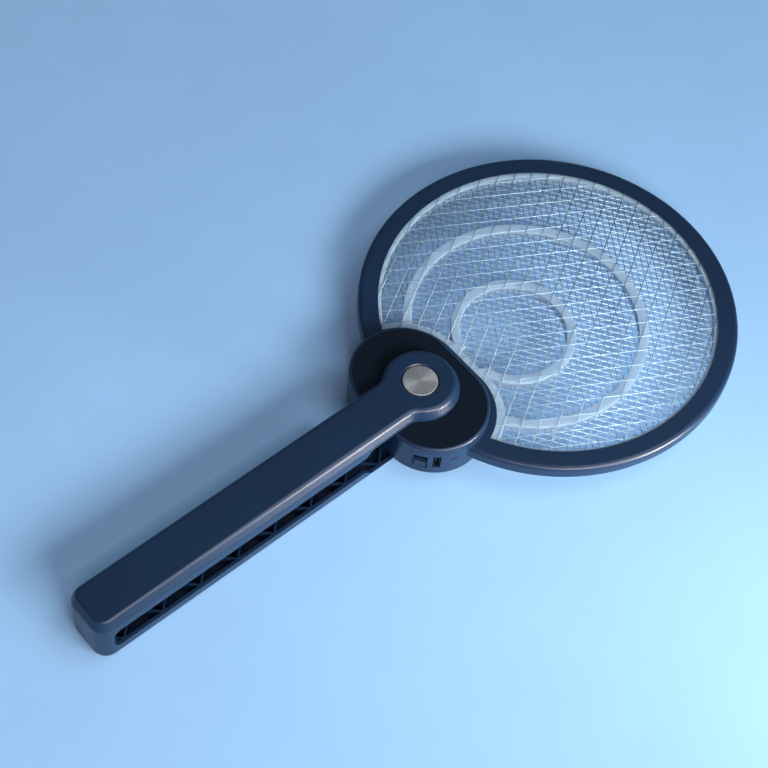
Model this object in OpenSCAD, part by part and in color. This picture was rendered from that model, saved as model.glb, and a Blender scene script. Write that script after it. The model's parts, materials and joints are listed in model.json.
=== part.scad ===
// Folding electric fly swatter: a round mesh head on a hub that turns between the two arms of
// a forked handle. Millimetres. Z up, +Y from the handle to the head, Z = 0 on the rest face.

/* [Handle] */
// Thickness over both arms
grip_h = 36.8; // [32:0.1:42]
// Width of the arms
grip_w = 28.8; // [24:0.1:32]
// Length behind the pivot
grip_l = 214.5; // [210:0.5:240]
// Plan radius of the butt corners
butt_r = 8; // [4:0.5:12]
// Width of the chamfer round both arms
cham_w = 2.6; // [1:0.1:4]
// Height of the chamfer
cham_h = 5.6; // [3:0.1:6]
// Rounding between chamfer and side wall
crease_f = 4; // [1:0.5:6]
// Rounding between chamfer and flat at the butt
butt_f = 1.6; // [0.5:0.1:3]
// Rounding between chamfer and flat at the neck and on the eye
neck_f = 2.8; // [1:0.1:4]
// Radius of the eye round the pivot
eye_r = 21.4; // [18:0.1:24]
// Concave radius between arm and eye
cove_r = 8; // [3:0.5:12]
// Height of the slot in the grip
slot_h = 14.9; // [10:0.1:18]
// Where the slot ends, behind the pivot
slot_l = 206.3; // [203:0.1:208]
// Corner radius at the end of the slot
slot_r = 4.5; // [2:0.5:7]
// Where the slot starts to flare
flare_start = 48.5; // [46:0.5:60]
// Where the flare meets the hub gap
flare_end = 43; // [42.5:0.1:46]
// Outer wall of the arms
arm_wall = 1.85; // [1.5:0.05:3]
// Skin over the ribs
arm_skin = 2.6; // [2:0.1:4]
// Thickness of the lattice ribs
rib_t = 0.9; // [0.8:0.1:2]
// Rib spacing along the arm
rib_pitch = 23.35; // [18:0.05:30]

/* [Hub] */
// Thickness of the hub
hub_h = 23.2; // [22:0.1:25]
// End radius of the hub
hub_r = 29; // [26:0.1:31]
// Half distance between the end centres
hub_a = 12.65; // [8:0.05:18]
// Edge rounding of the hub
hub_f = 1.5; // [0.5:0.1:1.6]
// Side wall of the hub
hub_wall = 1.6; // [1.5:0.1:2.4]
// Face skin under the inlay
hub_skin = 2; // [1.5:0.1:3]
// Thickness of the inlays
inlay_t = 1.2; // [0.8:0.1:1.6]
// Gap between hub and arms, each side
hub_gap = 0.3; // [0.3:0.05:0.8]

/* [Head] */
// Outside diameter of the ring
ring_od = 210; // [200:1:220]
// Radial width of the ring
ring_w = 11.1; // [9:0.1:14]
// Thickness of the ring
ring_t = 9.2; // [8:0.1:9.6]
// Outer edge rounding of the ring
ring_f = 2.6; // [1:0.1:4]
// Ring centre ahead of the pivot
ring_y = 95.2; // [90:0.1:98]
// Collar of the ring round the hub
collar_w = 4.2; // [2:0.1:5]
// Width of the clear strip beside the collar
strip_w = 4.5; // [3:0.1:6]
// Width of the clear loops
loop_w = 5; // [3:0.1:7]
// Outer radius of the large loop
loop_big_r = 67.5; // [60:0.1:72]
// Centre of the large loop
loop_big_y = 78.3; // [70:0.1:84]
// Outer radius of the small loop
loop_small_r = 34.3; // [28:0.1:40]
// Centre of the small loop
loop_small_y = 69.2; // [62:0.1:74]

/* [Meshes] */
// Wire spacing of the outer meshes
coarse_pitch = 8.9; // [6:0.1:14]
// Wire spacing of the inner mesh
fine_pitch = 3.43; // [3:0.01:6]
// Wire width
wire_w = 0.6; // [0.4:0.05:1]

/* [Pivot] */
// Radius of the pivot post
post_r = 4; // [3:0.1:5]
// Running clearance of the post in its bush
post_clear = 0.05; // [0.02:0.01:0.09]
// Radius of the cap discs
cap_r = 9.4; // [8:0.1:11]

/* [Side panel] */
// Middle of the panel round the hub end
panel_ang = -34; // [-45:0.5:-25]
// Angle the panel covers
panel_span = 61; // [50:1:70]
// Height of the panel
panel_h = 16.4; // [14:0.1:17]
// Switch position round the hub end
switch_ang = -55; // [-60:0.5:-50]
// Switch travel
switch_travel = 4; // [2:0.1:5]

/* [Hidden] */
mid = grip_h / 2;
ring_ro = ring_od / 2;
ring_ri = ring_ro - ring_w;
y_shift = (grip_l - ring_y - ring_ro) / 2;
gap_w = hub_h / 2 + hub_gap;
cove_x = grip_w / 2 + cove_r;
cove_y = sqrt(pow(eye_r + cove_r, 2) - cove_x * cove_x);
face_w = hub_h / 2 - inlay_t;
roof_w = face_w - hub_skin;
liner_w = 1.9;
port_ang = -37.7;
tilt = atan(cham_w / cham_h);
rib_y = -60.1;
screw_xy = [[-hub_a, -21.5], [-hub_a, 21.5], [hub_a, -21.5], [hub_a, 21.5]];
butt_screw_x = 5;
butt_screw_y = -208.4;
cavity_end = 26;
lip_t = 0.6;
mesh_t = 1;
mesh_w = ring_t / 2 - lip_t - mesh_t;
navy = [0.11, 0.15, 0.25];
clear_c = [0.86, 0.89, 0.94, 0.6];
steel = [0.75, 0.76, 0.78];
$fn = 96;

handle_top();
handle_bottom();
butt_screws();
pivot_post();
pivot_screw();
friction_washers();
pivot_caps();
head_front();
head_back();
inlay_front();
inlay_back();
side_panel();
spacer_front();
spacer_back();
mesh_front();
mesh_center();
mesh_back();
pivot_bush();
hub_screws();
circuit_board();
battery();
battery_contacts();
transformer();
capacitors();
panel_board();
switch_body();
switch_knob();
usb_socket();
indicator_lens();

// Pivot axis at the origin of each module, mid-plane at Z = 0 inside it.
module placed() {
  translate([0, y_shift, mid]) children();
}

module underside() {
  mirror([0, 0, 1]) children();
}

// Profile of a disc with a rounded top edge, for turning.
module edge_profile(r, h, f) {
  union() {
    square([r - f, h]);
    square([r, h - f]);
    translate([r - f, h - f]) circle(r = f, $fn = 64);
  }
}

module turned_disc(r, h, f) {
  rotate_extrude() intersection() {
    edge_profile(r, h, f);
    square([r + 1, h + 1]);
  }
}

module stadium(r) {
  translate([-hub_a, 0]) circle(r = r);
  translate([hub_a, 0]) circle(r = r);
  square([2 * hub_a, 2 * r], center = true);
}

module stadium_disc(r, h, f) {
  for (s = [-1, 1])
    translate([s * hub_a, 0, 0]) turned_disc(r, h, f);
  for (s = [0, 180])
    rotate([0, 0, s])
      translate([-hub_a, 0, 0])
        rotate([90, 0, 90])
          linear_extrude(2 * hub_a)
            intersection() {
              edge_profile(r, h, f);
              square([r + 1, h + 1]);
            }
}

// Moves its children to the hub end's side wall, at an angle round that end.
module round_end(ang) {
  translate([hub_a, 0, 0]) rotate([0, 0, ang]) children();
}

// ---- handle ----

// Right half of the arm's outline from butt to tip: x, y and the outward normal.
function outline_half() =
  let (w = grip_w / 2, turn = atan2(cove_y, cove_x))
  concat(
    [for (i = [0:8]) let (a = -90 + 90 * i / 8)
      [w - butt_r + butt_r * cos(a), -grip_l + butt_r + butt_r * sin(a), cos(a), sin(a)]],
    [for (i = [1:11])
      [w, -grip_l + butt_r + (grip_l - butt_r - cove_y) * i / 12, 1, 0]],
    [for (i = [0:7]) let (a = 180 - turn * i / 7)
      [cove_x + cove_r * cos(a), -cove_y + cove_r * sin(a), -cos(a), -sin(a)]],
    [for (i = [1:20]) let (a = -turn + (90 + turn) * i / 20)
      [eye_r * cos(a), eye_r * sin(a), cos(a), sin(a)]]);

function outline() =
  let (h = outline_half(), n = len(h))
  concat(h, [for (i = [n - 2:-1:0]) [-h[i][0], h[i][1], -h[i][2], h[i][3]]]);

// Rounding between chamfer and flat along the arm.
function fillet(y) = lookup(y, [[-grip_l, butt_f], [-150, butt_f + 0.2], [-60, neck_f]]);

module arm_body() {
  o = outline();
  n = len(o);
  steps = 8;
  points = concat(
    [for (q = o) [q[0], q[1], 0]],
    [for (k = [0:2]) let (a = tilt * k / 2, d = crease_f * (1 - cos(a)))
      for (q = o)
        [q[0] - q[2] * d, q[1] - q[3] * d,
         mid - cham_h + crease_f * (sin(a) - tan(tilt / 2))]],
    [for (k = [0:5]) let (a = tilt + (90 - tilt) * k / 5)
      for (q = o)
        let (f = fillet(q[1]), d = cham_w + f * tan(45 - tilt / 2) - f * cos(a))
        [q[0] - q[2] * d, q[1] - q[3] * d, mid - f + f * sin(a)]]);
  sides = [for (k = [0:steps]) for (i = [0:n - 1]) for (t = [0, 1])
    let (j = (i + 1) % n, a = k * n, b = (k + 1) * n)
    t == 0 ? [a + i, b + i, b + j] : [a + i, b + j, a + j]];
  m = (n - 1) / 2;
  top = (steps + 1) * n;
  caps = [for (i = [0:m - 1]) for (t = [0:3])
    let (j = i + 1, p = n - 2 - i, q = n - 1 - i)
    if (p != j || t == 0 || t == 2)
      t == 0 ? [i, j, q] : t == 1 ? [j, p, q] : t == 2 ? [top + i, top + q, top + j]
      : [top + j, top + q, top + p]];
  polyhedron(points, concat(caps, sides), convexity = 6);
}

// Side view of everything open between the arms.
module slot_side() {
  ramp = [for (i = [0:8]) let (t = i / 8)
    [(flare_end - flare_start) * (1 - t) - flare_end,
     slot_h / 2 + (gap_w - slot_h / 2) * t * t * (3 - 2 * t)]];
  for (s = [-1, 1])
    translate([-slot_l + slot_r, s * (slot_h / 2 - slot_r)]) circle(r = slot_r);
  translate([-slot_l, -slot_h / 2 + slot_r])
    square([slot_r + 1, slot_h - 2 * slot_r]);
  translate([-slot_l + slot_r, -slot_h / 2])
    square([slot_l - slot_r - flare_start + 0.5, slot_h]);
  polygon(concat(ramp, [for (i = [8:-1:0]) [ramp[i][0], -ramp[i][1]]]));
  translate([-flare_end - 0.1, -gap_w]) square([flare_end + eye_r + 5, 2 * gap_w]);
}

module slot_cut() {
  rotate([90, 0, 90])
    translate([0, 0, -grip_w])
      linear_extrude(2 * grip_w) slot_side();
}

// The hollow of an arm along its length, larger by g, from y0 to y1.
module hollow(y0, y1, g) {
  x = grip_w / 2 - arm_wall + g;
  z = mid - cham_h - 0.6;
  top = mid - arm_skin + g;
  dx = (top - z) * cham_w / cham_h;
  translate([0, y1, 0])
    rotate([90, 0, 0])
      linear_extrude(y1 - y0)
        polygon([[-x, -1], [x, -1], [x, z], [x - dx, top], [dx - x, top], [-x, z]]);
}

module ribs() {
  reach = grip_w / 2 - 1.5;
  intersection() {
    for (k = [-1:6])
      for (s = [-1, 1])
        translate([0, rib_y - rib_pitch * k + s * reach, 0])
          rotate([0, 0, -45 * s])
            translate([-reach * 1.5, -rib_t / 2, 0])
              cube([reach * 3, rib_t, mid]);
    hollow(-slot_l + 1, -cavity_end, 0.35);
  }
}

module arm_shell() {
  difference() {
    union() {
      difference() {
        arm_body();
        hollow(-slot_l + 3, -cavity_end, 0);
      }
      ribs();
    }
    slot_cut();
    translate([0, 0, gap_w - 1]) cylinder(r = post_r + 0.05, h = mid);
    translate([0, 0, mid - 2.9]) cylinder(r = cap_r + 0.5, h = 4);
    translate([0, 0, mid - 0.5]) cylinder(r1 = cap_r + 0.5, r2 = cap_r + 1.5, h = 1);
  }
}

module handle_top() {
  color(navy) placed() difference() {
    arm_shell();
    for (s = [-1, 1])
      translate([s * butt_screw_x, butt_screw_y, -1]) cylinder(r = 1.05, h = 11);
  }
}

module handle_bottom() {
  color(navy) placed() difference() {
    underside() arm_shell();
    for (s = [-1, 1])
      translate([s * butt_screw_x, butt_screw_y, -mid - 1]) {
        cylinder(r = 1.45, h = mid + 2);
        cylinder(r = 2.4, h = 7);
      }
  }
}

module butt_screws() {
  color(steel) placed()
    for (s = [-1, 1])
      translate([s * butt_screw_x, butt_screw_y, -mid + 6])
        pan_screw(1.05, 20, 2.1, 1.8);
}

// Screw standing on its head's bearing face at Z = 0, shank upwards, cross recess below.
module pan_screw(r, l, head_r, head_h) {
  difference() {
    union() {
      cylinder(r = r, h = l, $fn = 48);
      translate([0, 0, -head_h]) cylinder(r = head_r, h = head_h, $fn = 48);
    }
    for (a = [0, 90])
      rotate([0, 0, a])
        translate([-head_r * 0.6, -0.3, -head_h - 1])
          cube([head_r * 1.2, 0.6, 1 + head_h * 0.55]);
  }
}

// ---- pivot ----

module pivot_post() {
  color(steel) placed() difference() {
    union() {
      translate([0, 0, -mid + 2.9]) cylinder(r = post_r, h = 2 * mid - 5.8);
      translate([0, 0, -mid + 1.5]) cylinder(r = 7, h = 1.4);
    }
    translate([0, 0, 2]) cylinder(r = 1.7, h = mid);
  }
}

module pivot_screw() {
  color(steel) placed()
    translate([0, 0, mid - 2.9])
      underside() pan_screw(1.65, 12, 6.5, 1.4);
}

module friction_washers() {
  color([0.9, 0.9, 0.88]) placed()
    for (s = [0, 1])
      mirror([0, 0, s])
        translate([0, 0, face_w + 0.05])
          difference() {
            cylinder(r = 10.5, h = gap_w - face_w - 0.05);
            translate([0, 0, -1]) cylinder(r = post_r + 0.3, h = 5);
          }
}

module pivot_caps() {
  color(steel) placed()
    for (s = [0, 1])
      mirror([0, 0, s])
        difference() {
          translate([0, 0, mid - 2.9]) cylinder(r = cap_r, h = 2.85);
          translate([0, 0, mid - 3.9]) cylinder(r = cap_r - 0.8, h = 2.8);
        }
}

// ---- head shells ----

module ring_half() {
  translate([0, ring_y, 0])
    rotate_extrude($fn = 180)
      translate([ring_ri, 0])
        intersection() {
          edge_profile(ring_w, ring_t / 2, ring_f);
          square([ring_w + 1, ring_t]);
        }
}

// Everything inside the ring, out to a given reach past the ring's lip and the collar's lip.
module inside(reach) {
  difference() {
    translate([0, ring_y]) circle(r = ring_ri + reach, $fn = 180);
    stadium(hub_r + collar_w - reach);
  }
}

// Collar on the ring side only, ending where it runs into the ring.
module collar_half() {
  linear_extrude(ring_t / 2)
    intersection() {
      stadium(hub_r + collar_w);
      translate([0, ring_y]) circle(r = ring_ri + 1, $fn = 180);
    }
}

module panel_window(grow) {
  round_end(panel_ang - panel_span / 2)
    translate([0, 0, -panel_h / 2 - grow])
      rotate_extrude(angle = panel_span, $fn = 96)
        translate([hub_r - hub_wall - 0.5, 0])
          square([hub_wall + 2, panel_h + 2 * grow]);
}

module head_half() {
  difference() {
    union() {
      ring_half();
      collar_half();
      stadium_disc(hub_r, hub_h / 2, hub_f);
    }
    translate([0, 0, -1])
      linear_extrude(1 + ring_t / 2 - lip_t)
        inside(1.2);
    translate([0, 0, -1])
      linear_extrude(roof_w + 1)
        stadium(hub_r - hub_wall);
    translate([0, 0, face_w])
      linear_extrude(4)
        stadium(hub_r - hub_wall);
    translate([0, 0, -1]) cylinder(r = 5.5, h = hub_h);
    panel_window(0);
  }
  difference() {
    cylinder(r = 7.5, h = roof_w + 0.5);
    translate([0, 0, -1]) cylinder(r = 5.5, h = hub_h);
  }
}

module head_front() {
  color(navy) placed() {
    head_half();
    for (p = screw_xy)
      translate([p[0], p[1], 0])
        difference() {
          cylinder(r = 2.6, h = roof_w + 0.5);
          translate([0, 0, -1]) cylinder(r = 1.05, h = 8);
        }
  }
}

module head_back() {
  color(navy) placed() difference() {
    union() {
      underside() head_half();
      for (p = screw_xy)
        translate([p[0], p[1], -roof_w - 0.5]) cylinder(r = 2.6, h = roof_w + 0.5);
    }
    for (p = screw_xy)
      translate([p[0], p[1], -face_w - 1]) {
        cylinder(r = 1.45, h = hub_h);
        cylinder(r = 2.2, h = 4);
      }
  }
}

module hub_screws() {
  color(steel) placed()
    for (p = screw_xy)
      translate([p[0], p[1], -face_w + 3])
        pan_screw(1.05, 14, 2, 1.6);
}

module inlay_half() {
  translate([0, 0, face_w])
    linear_extrude(inlay_t - 0.1)
      difference() {
        stadium(hub_r - hub_wall - 0.05);
        circle(r = 11.2);
      }
}

module inlay_front() {
  color([0.05, 0.09, 0.13]) placed() inlay_half();
}

module inlay_back() {
  color([0.05, 0.09, 0.13]) placed() underside() inlay_half();
}

// ---- clear spacers and meshes ----

module loop_2d(r, y) {
  difference() {
    translate([0, y]) circle(r = r, $fn = 144);
    translate([0, y]) circle(r = r - loop_w, $fn = 144);
    square([16, 100], center = true);
  }
}

module spacer_half() {
  translate([0, 0, mesh_t / 2])
    linear_extrude(mesh_w - mesh_t / 2)
      intersection() {
        inside(1.1);
        union() {
          difference() {
            translate([0, ring_y]) circle(r = ring_ri + 3, $fn = 180);
            translate([0, ring_y]) circle(r = ring_ri - liner_w, $fn = 180);
          }
          stadium(hub_r + collar_w + strip_w);
          loop_2d(loop_big_r, loop_big_y);
          loop_2d(loop_small_r, loop_small_y);
          for (q = [-1, 1])
            translate([q * 10.5, 36.5]) square([5, 8], center = true);
        }
      }
}

module spacer_front() {
  color(clear_c) placed() spacer_half();
}

module spacer_back() {
  color(clear_c) placed() underside() spacer_half();
}

// Interval along a line (offset d from the ring centre, direction a) inside a disc.
function hit(px, py, dx, dy, cx, cy, r) =
  let (b = (px - cx) * dx + (py - cy) * dy, c = pow(px - cx, 2) + pow(py - cy, 2) - r * r)
  b * b - c > 0 ? [-b - sqrt(b * b - c), -b + sqrt(b * b - c)] : [1e4, -1e4];

module wires(a, pitch, z) {
  n = floor((ring_ri - 3) / pitch);
  r_hub = hub_r + collar_w - 0.6;
  for (i = [-n:n]) {
    px = -sin(a) * pitch * i;
    py = ring_y + cos(a) * pitch * i;
    full = hit(px, py, cos(a), sin(a), 0, ring_y, ring_ri + 0.6);
    e1 = hit(px, py, cos(a), sin(a), -hub_a, 0, r_hub);
    e2 = hit(px, py, cos(a), sin(a), hub_a, 0, r_hub);
    e3 = hit(px, py, cos(a), sin(a), 0, 0, r_hub);
    h0 = min(e1[0], e2[0], e3[0]);
    h1 = max(e1[1], e2[1], e3[1]);
    s0 = h1 > h0 ? (h0 < full[0] ? max(full[0], h1) : full[0]) : full[0];
    s1 = h1 > h0 ? (h0 < full[0] ? full[1] : min(full[1], h0)) : full[1];
    if (s1 - s0 > 3)
      translate([px + cos(a) * s0, py + sin(a) * s0, z])
        rotate([0, 0, a])
          translate([0, -wire_w / 2, 0]) cube([s1 - s0, wire_w, mesh_t * 0.44]);
    if (h1 > h0 && h0 > full[0] && full[1] - h1 > 3)
      translate([px + cos(a) * h1, py + sin(a) * h1, z])
        rotate([0, 0, a])
          translate([0, -wire_w / 2, 0]) cube([full[1] - h1, wire_w, mesh_t * 0.44]);
  }
}

module mesh_rim() {
  linear_extrude(mesh_t)
    difference() {
      inside(1.1);
      inside(0.1);
    }
}

module mesh(a, pitch) {
  mesh_rim();
  wires(a, pitch, 0);
  wires(180 - a, pitch, mesh_t * 0.56);
}

module mesh_front() {
  color(steel) placed()
    translate([0, 0, mesh_w]) mesh(60, coarse_pitch);
}

module mesh_center() {
  color(steel) placed()
    translate([0, 0, -mesh_t / 2]) mesh(34.4, fine_pitch);
}

module mesh_back() {
  color(steel) placed()
    underside() translate([0, 0, mesh_w]) mesh(60, coarse_pitch);
}

// ---- inside the hub ----

module pivot_bush() {
  color([0.8, 0.65, 0.35]) placed()
    translate([0, 0, -face_w])
      difference() {
        cylinder(r = 5.47, h = 2 * face_w);
        translate([0, 0, -1]) cylinder(r = post_r + post_clear, h = 2 * face_w + 2);
      }
}

module circuit_board() {
  color([0.1, 0.35, 0.2]) placed()
    translate([0, 0, -roof_w + 0.4])
      linear_extrude(1.2)
        difference() {
          stadium(25.6);
          circle(r = 8);
          for (p = screw_xy)
            translate(p) circle(r = 3, $fn = 48);
        }
}

module battery() {
  color([0.2, 0.45, 0.6]) placed()
    translate([-23, 0, 0.8])
      rotate([90, 0, 0]) {
        cylinder(r = 7, h = 33, center = true);
        cylinder(r = 3, h = 34, center = true);
      }
}

module battery_contacts() {
  color(steel) placed()
    for (s = [-1, 1])
      translate([-23, s * 17.3, -1])
        cube([6, 0.5, 11.6], center = true);
}

module transformer() {
  color([0.75, 0.6, 0.15]) placed()
    translate([25, 10, -roof_w + 1.6]) {
      translate([-6.5, -6, 0]) cube([13, 12, 3]);
      translate([-3.4, -3.4, 2.5]) cube([6.8, 6.8, 6]);
      translate([-6.5, -6, 8]) cube([13, 12, 3]);
    }
}

module capacitors() {
  color([0.15, 0.15, 0.16]) placed()
    for (p = [[20.5, 20.8], [9.8, 14]])
      translate([p[0], p[1], -roof_w + 1.6]) cylinder(r = 3.2, h = 11, $fn = 64);
}

// Everything on the panel board is drawn along the port's direction.
module panel_board() {
  color([0.1, 0.35, 0.2]) placed()
    round_end(port_ang)
      translate([19.4, -13.5, -6.4]) cube([1.2, 27, 13.2]);
}

module switch_body() {
  color([0.2, 0.2, 0.22]) placed()
    round_end(port_ang)
      difference() {
        translate([20.6, -10.6, -5]) cube([2.2, 7, 10]);
        translate([21.8, -9.9, -4.4]) cube([2, 5.6, 8.8]);
      }
}

module usb_socket() {
  color(steel) placed()
    round_end(port_ang)
      difference() {
        translate([20.6, -1.6, -4.5]) cube([7.4, 3.2, 9]);
        difference() {
          translate([22.6, -1.3, -4.2]) cube([6, 2.6, 8.4]);
          translate([22, -0.35, -3.3]) cube([5, 0.7, 6.6]);
        }
      }
}

module indicator_lens() {
  color([0.9, 0.95, 1, 0.7]) placed()
    round_end(port_ang)
      translate([20.6, 8.9, 2.1])
        rotate([0, 90, 0]) cylinder(r = 1.5, h = 6.6, $fn = 48);
}

module side_panel() {
  color(navy) placed() difference() {
    round_end(panel_ang - panel_span / 2 + 0.4)
      translate([0, 0, -panel_h / 2 + 0.15])
        rotate_extrude(angle = panel_span - 0.8, $fn = 96)
          translate([hub_r - hub_wall, 0])
            square([hub_wall, panel_h - 0.3]);
    round_end(switch_ang)
      translate([20, -3.8, -6.4]) cube([12, 7.6, 10.4]);
    round_end(port_ang)
      translate([20, -2.1, -5]) cube([12, 4.2, 10]);
    round_end(port_ang)
      translate([20, 8.9, 2.1])
        rotate([0, 90, 0]) cylinder(r = 1.8, h = 12, $fn = 48);
  }
}

// Drawn in its lower position, off; it slides up to turn the swatter on.
module switch_knob() {
  color([0.14, 0.18, 0.28]) placed()
    round_end(switch_ang) {
      difference() {
        translate([hub_r - hub_wall - 0.4, -3.2, -6]) cube([hub_wall + 0.9, 6.4, 5.6]);
        for (k = [0:2])
          translate([hub_r + 0.1, -3.5, -5.1 + 1.5 * k]) cube([2, 7, 0.7]);
      }
      translate([23.4, -1.2, -4]) cube([4, 2.4, 2]);
    }
}
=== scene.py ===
import bmesh
import bpy
import json
import math
from mathutils import Vector, Matrix


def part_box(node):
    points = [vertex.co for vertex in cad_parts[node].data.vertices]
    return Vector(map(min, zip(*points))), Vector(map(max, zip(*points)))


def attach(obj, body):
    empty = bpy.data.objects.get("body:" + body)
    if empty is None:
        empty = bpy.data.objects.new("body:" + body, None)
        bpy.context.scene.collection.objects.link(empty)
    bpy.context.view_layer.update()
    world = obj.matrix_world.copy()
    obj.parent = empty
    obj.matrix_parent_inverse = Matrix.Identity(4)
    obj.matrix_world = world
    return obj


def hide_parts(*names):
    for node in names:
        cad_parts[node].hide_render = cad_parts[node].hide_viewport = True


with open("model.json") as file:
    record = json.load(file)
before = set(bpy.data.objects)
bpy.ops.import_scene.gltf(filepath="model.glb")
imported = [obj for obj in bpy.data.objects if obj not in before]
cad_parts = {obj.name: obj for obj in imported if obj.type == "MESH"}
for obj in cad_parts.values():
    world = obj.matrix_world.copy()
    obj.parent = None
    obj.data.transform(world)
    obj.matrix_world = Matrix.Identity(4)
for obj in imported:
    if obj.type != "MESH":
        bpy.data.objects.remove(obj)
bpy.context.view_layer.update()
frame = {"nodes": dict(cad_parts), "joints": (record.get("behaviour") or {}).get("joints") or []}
nodes = frame["nodes"]
coll = bpy.context.scene.collection

# ---- places read from the frame ----
pivot = Vector(next(j for j in frame["joints"] if j["name"] == "head_fold")["pos_m"])
ring_lo, ring_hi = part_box("head_front")
mesh_lo, mesh_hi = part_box("mesh_front")
ring_r = (ring_hi.x - ring_lo.x) / 2
ring_c = Vector((0, ring_hi.y - ring_r))
mesh_r = (mesh_hi.x - mesh_lo.x) / 2
inlay_lo, inlay_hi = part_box("inlay_front")
inlay_r = (inlay_hi.y - inlay_lo.y) / 2
# the hub's outline in plan: lobes centred HUB_A each side of the pivot, kept clear to HUB_R
HUB_A = (inlay_hi.x - inlay_lo.x) / 2 - inlay_r
HUB_R = inlay_r + 0.00525

# ---- sizes of the pieces made here, in metres ----
COARSE_PITCH, FINE_PITCH = 0.0089, 0.00343
WIRE_INSET = 0.0006  # from the mesh's rim to the wires' ends
SHORTEST_WIRE = 0.003
WIRE_SIDES = 6
CAP_H, CAP_ROUND, CAP_WALL, CAP_SKIN = 0.0026, 0.0004, 0.0008, 0.0011
CAP_CENTRE = 0.0008  # radius of the cap's innermost ring of faces
CAP_STEPS = 128
TURNING_PITCH = 0.00022
WELD = 1e-7
FLOOR_HALF = 3


# ---- small node helpers ----
def new_mat(name):
    m = bpy.data.materials.new(name)
    m.use_nodes = True
    nt = m.node_tree
    nt.nodes.clear()
    out = nt.nodes.new("ShaderNodeOutputMaterial")
    b = nt.nodes.new("ShaderNodeBsdfPrincipled")
    nt.links.new(b.outputs[0], out.inputs[0])
    return m, nt, b


def node(nt, kind, **props):
    n = nt.nodes.new(kind)
    for k, v in props.items():
        if k.startswith("i_"):
            n.inputs[k[2:].replace("_", " ")].default_value = v
        else:
            setattr(n, k, v)
    return n


def coords(nt):
    return node(nt, "ShaderNodeTexCoord").outputs["Object"]


def ramp(nt, fac, stops):
    r = node(nt, "ShaderNodeValToRGB")
    e = r.color_ramp.elements
    e[0].position, e[0].color = stops[0][0], (*stops[0][1], 1)
    e[1].position, e[1].color = stops[-1][0], (*stops[-1][1], 1)
    for p, c in stops[1:-1]:
        k = e.new(p)
        k.color = (*c, 1)
    nt.links.new(fac, r.inputs["Fac"])
    return r.outputs["Color"]


def plastic(name, col, rough, grain=2600, bump=0.00001, spread=0.12, spec=0.5):
    """Moulded plastic: a soft drift in colour, with a fine grain in its gloss and surface."""
    m, nt, b = new_mat(name)
    v = coords(nt)
    big = node(nt, "ShaderNodeTexNoise", i_Scale=22, i_Detail=3)
    nt.links.new(v, big.inputs["Vector"])
    lo = tuple(c * (1 - spread) for c in col)
    hi = tuple(min(1, c * (1 + spread)) for c in col)
    nt.links.new(ramp(nt, big.outputs["Fac"], [(0.3, lo), (0.7, hi)]), b.inputs["Base Color"])
    fine = node(nt, "ShaderNodeTexNoise", i_Scale=grain, i_Detail=2)
    nt.links.new(v, fine.inputs["Vector"])
    mr = node(nt, "ShaderNodeMapRange")
    mr.inputs["To Min"].default_value = rough - 0.05
    mr.inputs["To Max"].default_value = rough + 0.06
    nt.links.new(fine.outputs["Fac"], mr.inputs["Value"])
    nt.links.new(mr.outputs["Result"], b.inputs["Roughness"])
    bp = node(nt, "ShaderNodeBump", i_Strength=0.35, i_Distance=bump)
    nt.links.new(fine.outputs["Fac"], bp.inputs["Height"])
    nt.links.new(bp.outputs["Normal"], b.inputs["Normal"])
    b.inputs["Specular IOR Level"].default_value = spec
    return m


def metal(name, col, rough, metallic=1.0):
    """Drawn or plated metal: a fine drift in brightness and gloss."""
    m, nt, b = new_mat(name)
    v = coords(nt)
    n = node(nt, "ShaderNodeTexNoise", i_Scale=900, i_Detail=3)
    nt.links.new(v, n.inputs["Vector"])
    lo = tuple(c * 0.92 for c in col)
    nt.links.new(ramp(nt, n.outputs["Fac"], [(0.3, lo), (0.7, col)]), b.inputs["Base Color"])
    mr = node(nt, "ShaderNodeMapRange")
    mr.inputs["To Min"].default_value = rough - 0.06
    mr.inputs["To Max"].default_value = rough + 0.08
    nt.links.new(n.outputs["Fac"], mr.inputs["Value"])
    nt.links.new(mr.outputs["Result"], b.inputs["Roughness"])
    b.inputs["Metallic"].default_value = metallic
    return m


navy = plastic("navy_satin", (0.006, 0.021, 0.055), 0.33, spec=0.42)
inlay = plastic("inlay_matt", (0.0017, 0.0065, 0.0145), 0.62, grain=3400, spec=0.12)
knob_m = plastic("knob_navy", (0.012, 0.03, 0.07), 0.36)
black = plastic("black_moulded", (0.006, 0.006, 0.008), 0.5)
nylon = plastic("washer_nylon", (0.72, 0.71, 0.66), 0.45, spread=0.04)
board = plastic("board_green", (0.02, 0.13, 0.06), 0.3)
sleeve = plastic("battery_sleeve", (0.03, 0.12, 0.3), 0.28)
tape = plastic("coil_tape", (0.6, 0.4, 0.05), 0.35)
steel = metal("screw_steel", (0.55, 0.56, 0.57), 0.3)
socket_m = metal("socket_steel", (0.05, 0.07, 0.1), 0.4)
# The two wire colours are one silver metal painted two ways: the light one is a painted
# highlight for the wires that catch the key lamp, the dark one is painted shade for the crossing
# wires, and the blue in both is the floor's reflection painted in.
wire_painted_highlight = metal("wire_painted_highlight", (0.6, 0.84, 1.0), 0.4, metallic=0.25)
wire_painted_shade = metal("wire_painted_shade", (0.21, 0.33, 0.43), 0.45, metallic=0.3)
brass = metal("bush_brass", (0.75, 0.55, 0.25), 0.28)
alu = metal("capacitor_can", (0.2, 0.2, 0.21), 0.35)


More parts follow.
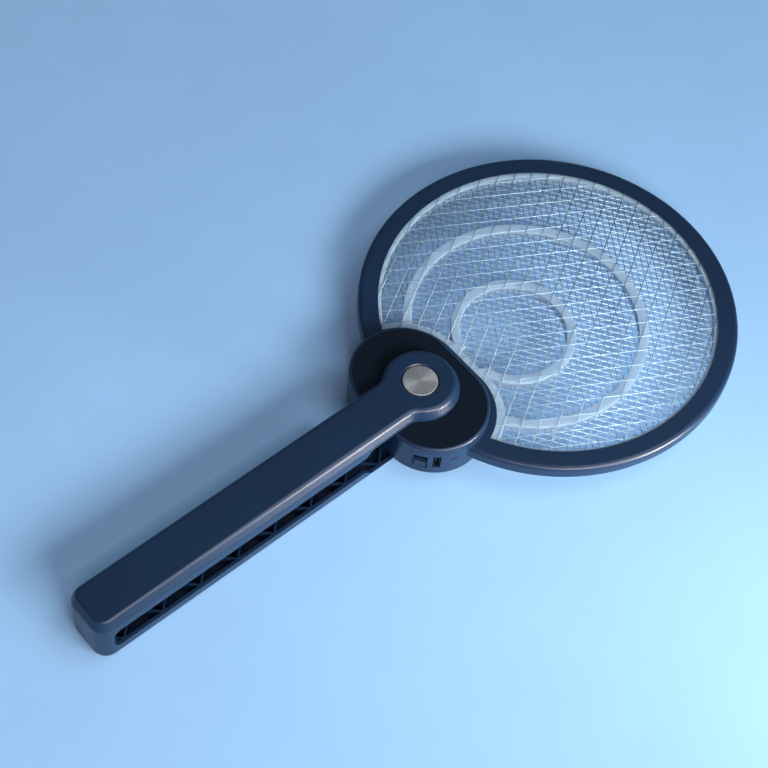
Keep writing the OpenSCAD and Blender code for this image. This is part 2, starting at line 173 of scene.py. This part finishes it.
def clear_plastic():
    """Milky clear plastic that lets some light through."""
    m, nt, b = new_mat("clear_milky")
    v = coords(nt)
    n = node(nt, "ShaderNodeTexNoise", i_Scale=160, i_Detail=3)
    nt.links.new(v, n.inputs["Vector"])
    milk = [(0.3, (0.4, 0.6, 0.86)), (0.7, (0.48, 0.67, 0.9))]
    nt.links.new(ramp(nt, n.outputs["Fac"], milk), b.inputs["Base Color"])
    b.inputs["Roughness"].default_value = 0.38
    b.inputs["Transmission Weight"].default_value = 0.3
    b.inputs["Subsurface Weight"].default_value = 0.9
    b.inputs["Subsurface Radius"].default_value = (0.8, 0.9, 1.0)
    b.inputs["Subsurface Scale"].default_value = 0.006
    b.inputs["IOR"].default_value = 1.45
    return m


clear = clear_plastic()


def lens():
    """Smoked glossy lamp lens."""
    m, nt, b = new_mat("lens_smoked")
    v = coords(nt)
    n = node(nt, "ShaderNodeTexNoise", i_Scale=900, i_Detail=1)
    nt.links.new(v, n.inputs["Vector"])
    smoke = [(0.3, (0.02, 0.02, 0.05)), (0.7, (0.035, 0.03, 0.07))]
    nt.links.new(ramp(nt, n.outputs["Fac"], smoke), b.inputs["Base Color"])
    b.inputs["Roughness"].default_value = 0.12
    return m


def spun():
    """Turned steel: fine rings for grain, and wide wedges of slightly different grey that are
    painted reflection streaks.
    """
    m, nt, b = new_mat("spun_steel")
    tc = node(nt, "ShaderNodeTexCoord")
    sep = node(nt, "ShaderNodeSeparateXYZ")
    nt.links.new(tc.outputs["Object"], sep.inputs[0])
    at = node(nt, "ShaderNodeMath", operation="ARCTAN2")
    nt.links.new(sep.outputs["Y"], at.inputs[0])
    nt.links.new(sep.outputs["X"], at.inputs[1])
    ln = node(nt, "ShaderNodeVectorMath", operation="LENGTH")
    flat = node(nt, "ShaderNodeCombineXYZ")
    nt.links.new(sep.outputs["X"], flat.inputs[0])
    nt.links.new(sep.outputs["Y"], flat.inputs[1])
    nt.links.new(flat.outputs[0], ln.inputs[0])
    # painted reflection: wedges of grey that change round the disc
    cm = node(nt, "ShaderNodeCombineXYZ")
    cs = node(nt, "ShaderNodeMath", operation="COSINE")
    sn = node(nt, "ShaderNodeMath", operation="SINE")
    nt.links.new(at.outputs[0], cs.inputs[0])
    nt.links.new(at.outputs[0], sn.inputs[0])
    nt.links.new(cs.outputs[0], cm.inputs[0])
    nt.links.new(sn.outputs[0], cm.inputs[1])
    painted_wedge_noise = node(nt, "ShaderNodeTexNoise", i_Scale=5.5, i_Detail=5)
    nt.links.new(cm.outputs[0], painted_wedge_noise.inputs["Vector"])
    painted_wedge_greys = [(0.3, (0.23, 0.28, 0.31)), (0.5, (0.3, 0.34, 0.36)), (0.7, (0.39, 0.38, 0.4))]
    nt.links.new(ramp(nt, painted_wedge_noise.outputs["Fac"], painted_wedge_greys), b.inputs["Base Color"])
    # turning rings
    rg = node(nt, "ShaderNodeMath", operation="MULTIPLY")
    rg.inputs[1].default_value = 2 * math.pi / TURNING_PITCH
    nt.links.new(ln.outputs["Value"], rg.inputs[0])
    rs = node(nt, "ShaderNodeMath", operation="SINE")
    nt.links.new(rg.outputs[0], rs.inputs[0])
    bp = node(nt, "ShaderNodeBump", i_Strength=0.25, i_Distance=0.00001)
    nt.links.new(rs.outputs[0], bp.inputs["Height"])
    nt.links.new(bp.outputs["Normal"], b.inputs["Normal"])
    tg = node(nt, "ShaderNodeTangent", direction_type="RADIAL", axis="Z")
    nt.links.new(tg.outputs[0], b.inputs["Tangent"])
    b.inputs["Metallic"].default_value = 0.6
    b.inputs["Roughness"].default_value = 0.4
    b.inputs["Anisotropic"].default_value = 0.75
    return m


spun_m = spun()


# ---- mesh building helpers ----
def add_object(name, verts, faces, mat, smooth=True):
    """A new object from plain vertices and faces."""
    me = bpy.data.meshes.new(name)
    me.from_pydata([tuple(v) for v in verts], [], faces)
    me.validate()
    me.update()
    if smooth:
        me.shade_smooth()
    ob = bpy.data.objects.new(name, me)
    coll.objects.link(ob)
    ob.data.materials.append(mat)
    return ob


def lathe(profile, n):
    """Turns (radius, z) points round Z in n steps."""
    verts, faces = [], []
    k = len(profile)
    for i in range(n):
        a = 2 * math.pi * i / n
        verts += [(r * math.cos(a), r * math.sin(a), z) for r, z in profile]
    for i in range(n):
        j = (i + 1) % n
        faces += [(i * k + q, j * k + q, j * k + q + 1, i * k + q + 1) for q in range(k - 1)]
    return verts, faces


def weld(ob):
    """Merges points that lie in the same place, so that no face is left without area."""
    bm = bmesh.new()
    bm.from_mesh(ob.data)
    bmesh.ops.remove_doubles(bm, verts=bm.verts, dist=WELD)
    bm.to_mesh(ob.data)
    bm.free()


def assign(name, mat):
    ob = nodes[name]
    ob.data.materials.clear()
    ob.data.materials.append(mat)


# ---- CAD nodes that keep their shape ----
for n, m in {
    "handle_top": navy, "handle_bottom": navy, "head_front": navy, "head_back": navy,
    "side_panel": navy, "inlay_front": inlay, "inlay_back": inlay, "switch_knob": knob_m,
    "butt_screws": steel, "pivot_post": steel, "pivot_screw": steel, "hub_screws": steel,
    "friction_washers": nylon, "spacer_front": clear, "spacer_back": clear,
    "pivot_bush": brass, "circuit_board": board, "panel_board": board, "battery": sleeve,
    "battery_contacts": steel, "transformer": tape, "capacitors": alu,
    "switch_body": black, "usb_socket": socket_m, "indicator_lens": lens(),
    "mesh_front": wire_painted_highlight, "mesh_center": wire_painted_highlight, "mesh_back": wire_painted_highlight,
    "pivot_caps": spun_m,
}.items():
    assign(n, m)


# ---- pivot caps: turned discs with a rounded edge ----
cap_lo, cap_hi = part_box("pivot_caps")
cap_r = (cap_hi.x - cap_lo.x) / 2


def cap(name, z, up):
    """A hollow turned disc with its face at height z."""
    prof = [(0.0, 0.0), (CAP_CENTRE, 0.0)]
    prof += [(cap_r * t, 0.0) for t in (0.2, 0.4, 0.6, 0.8, 0.93)]
    for i in range(5):
        a = math.pi / 2 * i / 4
        prof.append((cap_r - CAP_ROUND * (1 - math.sin(a)), CAP_ROUND * (math.cos(a) - 1)))
    inner = cap_r - CAP_WALL
    prof += [(cap_r, -CAP_H), (inner, -CAP_H), (inner, -CAP_SKIN), (0.0, -CAP_SKIN)]
    verts, faces = lathe(prof, CAP_STEPS)
    ob = add_object(name, verts, faces, spun_m)
    weld(ob)
    ob.location = (pivot.x, pivot.y, z)
    if not up:
        ob.rotation_euler = (math.pi, 0, 0)
    bpy.context.view_layer.update()
    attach(ob, "handle")
    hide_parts("pivot_caps")


cap("cap_upper", cap_hi.z, True)
cap("cap_lower", cap_lo.z, False)


# ---- wire meshes ----
def hit(p, d, c, r):
    """Where the line from p along d enters and leaves a circle, or None if it misses."""
    b = (p - c).dot(d)
    q = (p - c).length_squared - r * r
    if b * b - q <= 0:
        return None
    s = math.sqrt(b * b - q)
    return -b - s, -b + s


def wire_runs(angle, pitch, reach):
    """Pieces of each straight wire inside the ring and outside the hub, as end points."""
    d = Vector((math.cos(angle), math.sin(angle)))
    side = Vector((-d.y, d.x))
    hub = [Vector((pivot.x + x, pivot.y)) for x in (-HUB_A, 0, HUB_A)]
    n = int(reach / pitch)
    for i in range(-n, n + 1):
        p = ring_c + side * pitch * i
        full = hit(p, d, ring_c, reach)
        if not full:
            continue
        cuts = [h for h in (hit(p, d, k, HUB_R) for k in hub) if h]
        spans = [full]
        if cuts:
            h0, h1 = min(h[0] for h in cuts), max(h[1] for h in cuts)
            spans = [(full[0], min(full[1], h0)), (max(full[0], h1), full[1])]
        for s0, s1 in spans:
            if s1 - s0 > SHORTEST_WIRE:
                yield p + d * s0, p + d * s1


def rods(name, runs, z, r, mat):
    """Straight rods of radius r at height z, with flat ends."""
    verts, faces = [], []
    n = WIRE_SIDES
    for a, b in runs:
        d = (b - a).normalized()
        i = len(verts)
        for p in (a, b):
            for q in range(n):
                u = 2 * math.pi * q / n
                verts.append((p.x - d.y * r * math.cos(u), p.y + d.x * r * math.cos(u),
                              z + r * math.sin(u)))
        faces += [(i + q, i + (q + 1) % n, i + n + (q + 1) % n, i + n + q) for q in range(n)]
        faces.append(tuple(i + q for q in reversed(range(n))))
        faces.append(tuple(i + n + q for q in range(n)))
    return add_object(name, verts, faces, mat)


def wire_layers(names, cad_node, angles, pitch, lift, radii):
    """A CAD mesh as two layers of wires; the lower direction takes the painted highlight colour
    and the upper the painted shade colour.
    """
    lo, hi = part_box(cad_node)
    mats = (wire_painted_highlight, wire_painted_shade)
    for name, angle, side, r, mat in zip(names, angles, (-1, 1), radii, mats):
        runs = wire_runs(math.radians(angle), pitch, mesh_r - WIRE_INSET)
        ob = rods(name, runs, (lo.z + hi.z) / 2 + side * lift, r, mat)
        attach(ob, "head")
        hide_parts(cad_node)


for tag in ("front", "back"):
    wire_layers(["wire_%s_a" % tag, "wire_%s_b" % tag], "mesh_" + tag,
                (60, 120), COARSE_PITCH, 0.00024, (0.00019, 0.00022))
wire_layers(["wire_inner_a", "wire_inner_b"], "mesh_center",
            (34.4, 145.6), FINE_PITCH, 0.00022, (0.0003, 0.00021))

# ---- stage ----
floor_m = plastic("floor_pale", (0.3, 0.55, 0.86), 0.6,
                  grain=300, bump=0.00002, spread=0.015, spec=0.2)
corners = [(FLOOR_HALF * x, FLOOR_HALF * y, 0) for x, y in ((-1, -1), (1, -1), (1, 1), (-1, 1))]
floor = add_object("floor", corners, [(0, 1, 2, 3)], floor_m, smooth=False)

world = bpy.data.worlds.new("studio")
bpy.context.scene.world = world
world.use_nodes = True
sky = world.node_tree.nodes["Background"]
sky.inputs["Color"].default_value = (0.6, 0.78, 1.0, 1)
sky.inputs["Strength"].default_value = 0.14
bpy.context.scene.view_settings.view_transform = "Standard"


def area(name, pos, aim, size, power, col, spread=180):
    """A rectangular lamp at pos that faces aim, with a beam of spread degrees."""
    l = bpy.data.lights.new(name, "AREA")
    l.shape = "RECTANGLE"
    l.size, l.size_y = size
    l.energy = power
    l.color = col
    l.spread = math.radians(spread)
    o = bpy.data.objects.new(name, l)
    coll.objects.link(o)
    o.location = pos
    o.rotation_euler = (Vector(aim) - Vector(pos)).to_track_quat("-Z", "Y").to_euler()


area("key", (1.25, -0.16, 0.85), (0, 0, 0), (1.0, 0.45), 27, (1.0, 0.96, 0.93))
area("low", (0.58, 0.22, 0.075), (0, 0.01, 0.03), (0.2, 0.12), 0.55, (1.0, 0.95, 0.92), 48)
area("rosy", (0.72, -0.75, 1.25), (0, 0, 0), (0.3, 0.3), 5, (1.0, 0.66, 0.6))
area("top", (0.5, 0.6, 1.7), (0, 0.05, 0), (0.9, 0.9), 9, (0.93, 0.97, 1.0))

# ---- camera ----
AZ, EL, ROLL = math.radians(43.91), math.radians(56.55), math.radians(6.77)
DIST = 0.99046
FOCAL, FRAME = 1820.46, 768  # in pixels
SENSOR = 36
back = Vector((math.sin(AZ) * math.cos(EL), -math.cos(AZ) * math.cos(EL), math.sin(EL)))
right = Vector((math.cos(AZ), math.sin(AZ), 0))
up = back.cross(right)
r2 = right * math.cos(ROLL) + up * math.sin(ROLL)
u2 = -right * math.sin(ROLL) + up * math.cos(ROLL)
look = Vector((pivot.x - 0.02677, pivot.y + 0.00097, 0))
cam = bpy.data.cameras.new("camera")
cam.lens = SENSOR * FOCAL / FRAME
cam.sensor_width = SENSOR
cam.clip_start = 0.05
cam_ob = bpy.data.objects.new("camera", cam)
coll.objects.link(cam_ob)
place = Matrix((r2, u2, back)).transposed().to_4x4()
place.translation = look + back * DIST
cam_ob.matrix_world = place
bpy.context.scene.camera = cam_ob
